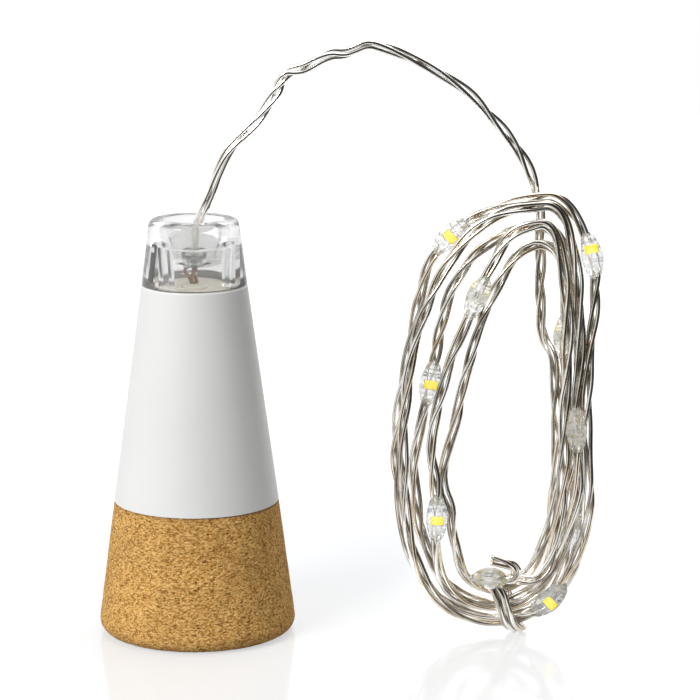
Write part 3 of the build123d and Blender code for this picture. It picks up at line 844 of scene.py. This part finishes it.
def strand_rings(strand, line, drops):
    """Rings of one strand of the cord."""
    centres, radii = [], []
    places = zip(line, carried_frames(line), strand_turns(line))
    for index, (point, (_, side, other), turn) in enumerate(places):
        along = index * RING_STEP
        slack = noise.noise(Vector((along * SLACK_PER_METRE, strand * SLACK_ROW_STEP, SLACK_LAYER)))
        wander = noise.noise(Vector((along * WANDER_PER_METRE, strand * WANDER_ROW_STEP, WANDER_LAYER)))
        angle = turn + 2 * math.pi * strand / STRAND_COUNT + STRAND_WANDER * wander
        out = side * math.cos(angle) * STRAND_DEPTH + other * math.sin(angle) * STRAND_SPREAD
        centres.append(point + out * (1 + STRAND_SLACK * slack) * gathered(along))
        radii.append(STRAND_RADIUS * (1 - (1 - BARE_SHARE) * bareness(index, drops)))
    return tube_rings(centres, radii, STRAND_SIDES)


def make_string(line, drops):
    """The strands along the cord's line, as one piece, each with its own finish after the lead, along which
    all take the brightest finish as painted light.
    """
    vertices, faces = capped_tubes([strand_rings(strand, line, drops) for strand in range(STRAND_COUNT)])
    # Painted light: the lead's strands all take the brightest finish
    bright = round(LEAD_PAINTED_LIGHT_LENGTH / RING_STEP) * STRAND_SIDES
    slots = []
    for strand in range(STRAND_COUNT):
        slots += [0] * bright + [strand] * (len(faces) // STRAND_COUNT - bright)
    finishes = [wire_material(name, tones) for name, tones in WIRE_TONES.items()]
    string = new_piece("light_string", vertices, faces, finishes, slots)
    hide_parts("string_lead", "string_coil", "string_tie")
    return string


def nearest(line, place):
    """Index of the point of a line that is nearest to a place."""
    return min(range(len(line)), key=lambda index: (line[index] - place).length_squared)


def middle(node):
    """Centre of a CAD node's box."""
    low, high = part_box(node)
    return (Vector(low) + Vector(high)) / 2


def drawn_over(route, places):
    """Route whose points near each drop's place are moved until its line passes there."""
    for _ in range(DRAW_ROUNDS):
        for place in places:
            line = smooth_line(route)
            offset = place - line[nearest(line, place)]
            near = nearest(route, place)
            start = route[near]
            for index, point in enumerate(route):
                share = (point - start).length / DRAW_REACH
                if share < 1 and abs(index - near) <= QUARTER_POINTS * 2:
                    route[index] = point + offset * math.cos(share * math.pi / 2) ** 2
    return route


def make_drop(number, line, centre, material):
    """Clear resin drop round the cord, a little uneven, at its CAD node's place."""
    length = TAIL_DROP_LENGTH if number == TAIL_DROP else DROP_LENGTH
    half = round(length / 2 / RING_STEP)
    stretch = line[max(centre - half, 0):centre + half + 1]
    frames = carried_frames(stretch)
    rings = []
    for ring in range(DROP_RINGS + 1):
        share = ring / DROP_RINGS
        index = round(share * (len(stretch) - 1))
        swell = math.sin(math.pi * share) ** DROP_FULLNESS
        diameter = DROP_END_DIAMETER + (DROP_DIAMETER - DROP_END_DIAMETER) * swell
        _, side, other = frames[index]
        points = []
        for point in round_ring(stretch[index], side, other, diameter / 2, DROP_SIDES):
            lump = noise.noise(point * DROP_LUMPS_PER_METRE)
            points.append(stretch[index] + (point - stretch[index]) * (1 + DROP_LUMP * lump))
        rings.append(points)
    drop = new_piece(f"drop_{number}", *capped_tubes([rings]), [material])
    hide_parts(f"led_drop_{number}")
    return drop


def make_chip(number, line, index, materials):
    """Light chip inside a drop: a pale base, a yellow face and a green mark on its back."""
    ahead = min(index + CHIP_HEADING_POINTS, len(line) - 1)
    heading = (line[ahead] - line[index - CHIP_HEADING_POINTS]).normalized()
    out = middle(f"led_chip_{number}") - middle(f"led_drop_{number}")
    out = (out - heading * out.dot(heading)).normalized()
    place = Matrix((heading.cross(out), heading, out)).transposed().to_4x4()
    place.translation = line[index] + heading * CHIP_SHIFT.get(number, 0.0)
    back = CHIP_HEIGHT - CHIP_THICKNESS / 2
    joint = back + CHIP_THICKNESS * CHIP_BASE_SHARE
    front = back + CHIP_THICKNESS
    mark_back = back - CHIP_THICKNESS * CHIP_MARK_SHARE
    layers = [
        (CHIP_ACROSS, CHIP_ALONG, back, joint),
        (CHIP_ACROSS * CHIP_FACE_ACROSS_SHARE, CHIP_ALONG * CHIP_FACE_ALONG_SHARE, joint, front),
        (CHIP_MARK, CHIP_MARK, mark_back, back),
    ]
    vertices, faces, slots = [], [], []
    for slot, layer in enumerate(layers):
        first = len(vertices)
        vertices += [place @ point for point in box_points(*layer)]
        faces += [tuple(first + corner for corner in face) for face in BOX_FACES]
        slots += [slot] * len(BOX_FACES)
    chip = new_piece(f"chip_{number}", vertices, faces, materials, slots, smooth=False)
    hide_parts(f"led_chip_{number}")
    return chip


def make_light_string():
    """The whole string: its strands, its drops and their chips."""
    numbers = [f"{index:02d}" for index in range(1, DROP_COUNT + 1)]
    places = [middle(f"led_drop_{number}") for number in numbers]
    route = [Vector(point) for point in LEAD_POINTS] + hank_points() + tie_points()
    line = even_points(smooth_line(drawn_over(route, places)), RING_STEP)
    drops = [nearest(line, place) for place in places]
    string = make_string(line, drops)
    resin = clear_material(
        "drop_resin", (0.92, 0.93, 0.94), roughness=0.24, wave=1.5, ior=1.24, clearness=0.80
    )
    chip_finishes = [
        plain_material("chip_base", (0.80, 0.76, 0.64), 0.5),
        phosphor_material(),
        plain_material("chip_mark", (0.02, 0.17, 0.12), 0.4),
    ]
    for number, index in zip(numbers, drops):
        make_drop(number, line, index, resin)
        make_chip(number, line, index, chip_finishes)


def cork_outline():
    """Point and outward way along the cork's side, from its foot to its lip."""
    lean = math.atan((CORK_BASE_RADIUS - CORK_TOP_RADIUS) / CORK_HEIGHT)
    edge_radius = CORK_BASE_RADIUS - CORK_EDGE_RADIUS * (1 + math.sin(lean)) / math.cos(lean)
    outline = []
    steps = round(CORK_EDGE_RADIUS * (math.pi / 2 + lean) / CORK_STEP)
    for step in range(steps + 1):
        angle = -math.pi / 2 + (math.pi / 2 + lean) * step / steps
        out = Vector((math.cos(angle), 0, math.sin(angle)))
        outline.append((Vector((edge_radius, 0, CORK_EDGE_RADIUS)) + out * CORK_EDGE_RADIUS, out))
    start, out = outline[-1]
    lip = CORK_HEIGHT - CORK_LIP
    steps = round((lip - start.z) / CORK_STEP)
    for step in range(1, steps + 1):
        z = start.z + (lip - start.z) * step / steps
        outline.append((Vector((CORK_BASE_RADIUS - z * math.tan(lean), 0, z)), out))
    return outline


def pitted(point, out):
    """Point of the cork's skin moved in by its pits and unevenness."""
    pit = noise.noise(point * PITS_PER_METRE)
    swell = noise.noise(point * SWELLS_PER_METRE)
    return point - out * (PIT_DEPTH * max(0.0, pit) + SWELL_DEPTH * (1 + swell) / 2)


def cork_rings():
    """Rings of the cork, up its pitted side and down into the insert's recess."""
    outline = cork_outline()
    foot_radius = outline[0][0].x
    lip_radius = outline[-1][0].x - CORK_LIP
    profile = [(foot_radius / 2, 0.0, None)] + [(point.x, point.z, out) for point, out in outline]
    profile += [(lip_radius, CORK_HEIGHT, None), (RECESS_RADIUS, CORK_HEIGHT, None)]
    profile += [(RECESS_RADIUS, RECESS_FLOOR, None), (RECESS_RADIUS / 2, RECESS_FLOOR, None)]
    rings = []
    for radius, height, out in profile:
        ring = []
        for corner in range(CORK_SIDES):
            turn = Matrix.Rotation(2 * math.pi * corner / CORK_SIDES, 3, "Z")
            point = turn @ Vector((radius, 0, height))
            ring.append(pitted(point, turn @ out) if out and height > 0 else point)
        rings.append(ring)
    return rings


def add_block(name, vertices, faces):
    """Object of a plain mesh, for cutting."""
    mesh = bpy.data.meshes.new(name)
    mesh.from_pydata(vertices, [], faces)
    return add_object(name, mesh)


def make_cork():
    """Cork cap with an uneven, pitted skin, and the insert's recess and slot."""
    block = add_block("cork_block", *capped_tubes([cork_rings()]))
    slot = add_block("slot_block", box_points(SLOT_WIDTH, SLOT_DEPTH, SLOT_FLOOR, CORK_HEIGHT), BOX_FACES)
    cut = block.modifiers.new("slot", "BOOLEAN")
    cut.operation = "DIFFERENCE"
    cut.object = slot
    bpy.context.view_layer.update()
    mesh = bpy.data.meshes.new_from_object(block.evaluated_get(bpy.context.evaluated_depsgraph_get()))
    # Removing a mesh removes its object too
    for used in (block, slot):
        bpy.data.meshes.remove(used.data)
    mesh.name = "cork"
    mesh.materials.clear()
    mesh.materials.append(cork_material())
    cork = add_object("cork", mesh)
    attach(cork, "cap")
    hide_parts("cork_cap")


def make_seal():
    """Blob of glue where the wires go into the frame's hole."""
    rings = []
    for index in range(SEAL_RINGS + 1):
        angle = index / SEAL_RINGS * math.pi / 2
        radius = SEAL_RADIUS * math.cos(angle * SEAL_ROUNDNESS)
        centre = Vector((0, 0, SEAL_Z + SEAL_HEIGHT * math.sin(angle)))
        rings.append(round_ring(centre, Vector((1, 0, 0)), Vector((0, 1, 0)), radius, SEAL_SIDES))
    glue = plain_material("seal_glue", (0.80, 0.75, 0.64), 0.35)
    seal = new_piece("wire_seal", *capped_tubes([rings]), [glue])


def make_tip_wires():
    """Copper strands inside the tip, one of them bent in a hook."""
    tubes = []
    for points in TIP_WIRES:
        line = even_points(smooth_line(points), TIP_WIRE_STEP)
        tubes.append(tube_rings(line, [TIP_WIRE_RADIUS] * len(line), TIP_WIRE_SIDES))
    wires = new_piece("tip_wires", *capped_tubes(tubes), [copper_material()])
    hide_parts("lead_wires")


def make_painted_reflection():
    """Black sheet behind the clear tip's wall: a painted dark reflection."""
    rings = []
    for column in range(PAINTED_REFLECTION_COLUMNS + 1):
        turn = math.radians(PAINTED_REFLECTION_ANGLE + PAINTED_REFLECTION_SPAN * (column / PAINTED_REFLECTION_COLUMNS - 0.5))
        out = Vector((-math.sin(turn), -math.cos(turn), 0))
        ring = []
        for height, depth in ((PAINTED_REFLECTION_LOW, 0), (PAINTED_REFLECTION_HIGH, 0), (PAINTED_REFLECTION_HIGH, 1), (PAINTED_REFLECTION_LOW, 1)):
            radius = PAINTED_REFLECTION_RADIUS - PAINTED_REFLECTION_TAPER * (height - PAINTED_REFLECTION_LOW) - depth * PAINTED_REFLECTION_THICKNESS
            ring.append(out * radius + Vector((0, 0, height)))
        rings.append(ring)
    # Near-black sheet that paints a dark reflection in the tip
    dark = plain_material("painted_dark_reflection", (0.02, 0.019, 0.024), 0.3)
    painted_reflection_sheet = new_piece("tip_painted_reflection", *capped_tubes([rings]), [dark], smooth=False)


def dress_nodes():
    """Finishes of the lamp's CAD pieces."""
    white = white_material()
    clear = clear_material(
        "clear_plastic", (0.86, 0.86, 0.855), roughness=0.08, wave=3.0, ior=1.32, clearness=0.92
    )
    soft_clear = clear_material("soft_clear", (0.95, 0.95, 0.95), roughness=0.06, wave=1.0, ior=1.30)
    steel = plain_material("steel", (0.62, 0.61, 0.59), 0.32, metallic=1.0)
    black = plain_material("black_resin", (0.03, 0.03, 0.032), 0.45)
    finishes = {
        "cap_insert": plain_material("insert_plastic", (0.74, 0.74, 0.72), 0.5),
        "body_shell": white,
        "end_plate": white,
        "end_plate_screws": steel,
        "clear_tip": clear,
        "wire_grommet": soft_clear,
        "core_frame": plain_material("frame_plastic", (0.80, 0.745, 0.63), 0.5, change=0.08),
        "circuit_board": plain_material("board", (0.03, 0.18, 0.07), 0.4),
        "usb_shell": plain_material("plug_steel", (0.72, 0.71, 0.69), 0.22, metallic=1.0),
        "usb_tongue": plain_material("plug_plastic", (0.82, 0.82, 0.80), 0.5),
        "usb_contacts": plain_material("gilt", (0.85, 0.62, 0.25), 0.25, metallic=1.0),
        "battery_cell": plain_material("cell_foil", (0.66, 0.67, 0.69), 0.35, metallic=1.0),
        "battery_pad": plain_material("foam", (0.80, 0.79, 0.74), 0.9),
        "battery_tab_positive": steel,
        "battery_tab_negative": steel,
        "charger_ic": black,
        "driver_ic": black,
        "smd_resistors": black,
        "smd_capacitors": plain_material("capacitor", (0.45, 0.32, 0.19), 0.45),
        "charge_led": plain_material("indicator", (0.75, 0.08, 0.05), 0.2),
        "switch_housing": steel,
        "switch_knob": black,
        "solder_joints": plain_material("solder", (0.68, 0.69, 0.70), 0.3, metallic=1.0),
    }
    for node, material in finishes.items():
        slots = nodes[node].data.materials
        slots.clear()
        slots.append(material)


def stage_material():
    """White floor: bright to the camera and in reflections, with a soft shadow and a faint reflection."""
    material, shader = new_material("stage_white")
    shader.inputs["Base Color"].default_value = FLOOR_COLOUR
    shader.inputs["Roughness"].default_value = FLOOR_ROUGHNESS
    shader.inputs["Specular IOR Level"].default_value = 0.0
    seen = add_node(material, "ShaderNodeLightPath").outputs
    shown = math_node(material, "MAXIMUM", seen["Is Camera Ray"], seen["Is Glossy Ray"])
    shown = math_node(material, "MAXIMUM", shown, seen["Is Transmission Ray"])
    place = add_node(material, "ShaderNodeTexCoord").outputs["Object"]
    apart = add_node(material, "ShaderNodeVectorMath", {1: FLOOR_CENTRE}, operation="DISTANCE")
    join(material, place, apart.inputs[0])
    level = map_range(material, apart.outputs["Value"], *SHADOW_REACH, FLOOR_GLOW, 1.0)
    spot = split_place(material, place)
    front = map_range(material, spot["Y"], *FRONT_FADE, 0.0, 1.0)
    right = map_range(material, spot["X"], *RIGHT_FADE, 0.0, 1.0)
    edge = math_node(material, "MAXIMUM", front, right)
    level = math_node(material, "MAXIMUM", level, edge)
    glow = add_node(material, "ShaderNodeEmission", {"Color": WHITE})
    join(material, math_node(material, "MULTIPLY", shown, level), glow.inputs["Strength"])
    lit = add_node(material, "ShaderNodeAddShader")
    join(material, shader.outputs[0], lit.inputs[0])
    join(material, glow.outputs[0], lit.inputs[1])
    mirror = {"Color": MIRROR_COLOUR, "Roughness": MIRROR_ROUGHNESS}
    gloss = add_node(material, "ShaderNodeBsdfGlossy", mirror)
    both = add_node(material, "ShaderNodeMixShader")
    join(material, map_range(material, edge, 0.0, 1.0, FLOOR_MIRROR, 0.0), both.inputs[0])
    join(material, lit.outputs[0], both.inputs[1])
    join(material, gloss.outputs[0], both.inputs[2])
    join(material, both.outputs[0], material.node_tree.nodes["Material Output"].inputs["Surface"])
    return material


def make_world():
    """White studio, whose front right is a dark room where metal mirrors it."""
    world = bpy.data.worlds.new("studio")
    bpy.context.scene.world = world
    world.use_nodes = True
    seen = add_node(world, "ShaderNodeLightPath").outputs
    way = add_node(world, "ShaderNodeTexCoord")
    side = add_node(world, "ShaderNodeVectorMath", {1: BRIGHT_SIDE}, operation="DOT_PRODUCT")
    join(world, way.outputs["Generated"], side.inputs[0])
    room = map_range(world, side.outputs["Value"], *DARK_TURN, DARK_SIDE, 1.0)
    mirrored = math_node(world, "MULTIPLY", seen["Is Glossy Ray"], room)
    plain = math_node(world, "MAXIMUM", seen["Is Camera Ray"], seen["Is Transmission Ray"])
    not_glossy = math_node(world, "SUBTRACT", 1.0, seen["Is Glossy Ray"])
    dim = math_node(world, "MULTIPLY", not_glossy, WORLD_LIGHT)
    level = math_node(world, "MAXIMUM", math_node(world, "MAXIMUM", plain, dim), mirrored)
    background = world.node_tree.nodes["Background"]
    background.inputs["Color"].default_value = WHITE
    join(world, level, background.inputs["Strength"])


def make_floor():
    """Plain white floor."""
    mesh = bpy.data.meshes.new("floor")
    front = [(FLOOR_LEFT, FLOOR_FRONT, 0), (FLOOR_RIGHT, FLOOR_FRONT, 0)]
    back = [(FLOOR_RIGHT, FLOOR_BACK, 0), (FLOOR_LEFT, FLOOR_BACK, 0)]
    mesh.from_pydata(front + back, [], [(0, 1, 2, 3)])
    mesh.materials.append(stage_material())
    add_object("floor", mesh)


def add_lamp(name, place, size, power):
    """Square soft lamp aimed at the object."""
    light = bpy.data.lights.new(name, "AREA")
    light.size = size
    light.energy = power
    lamp = add_object(name, light)
    lamp.location = place
    lamp.rotation_euler = (CAMERA_AIM - Vector(place)).to_track_quat("-Z", "Y").to_euler()


def make_camera():
    """Camera at the photograph's angle."""
    camera_data = bpy.data.cameras.new("camera")
    camera_data.lens = CAMERA_LENS
    camera_data.sensor_width = CAMERA_SENSOR
    camera_data.clip_start = CAMERA_CLIP
    camera = add_object("camera", camera_data)
    tilt = math.radians(CAMERA_ELEVATION)
    camera.location = CAMERA_AIM + Vector((0, -math.cos(tilt), math.sin(tilt))) * CAMERA_DISTANCE
    camera.rotation_euler = (math.pi / 2 - tilt, 0, 0)
    bpy.context.scene.camera = camera


make_camera()
make_light_string()
make_cork()
make_seal()
make_tip_wires()
# Painted dark reflection in the clear tip
make_painted_reflection()
dress_nodes()
make_floor()
make_world()
for lamp in LAMPS:
    add_lamp(*lamp)
bpy.context.scene.view_settings.view_transform = "Standard"
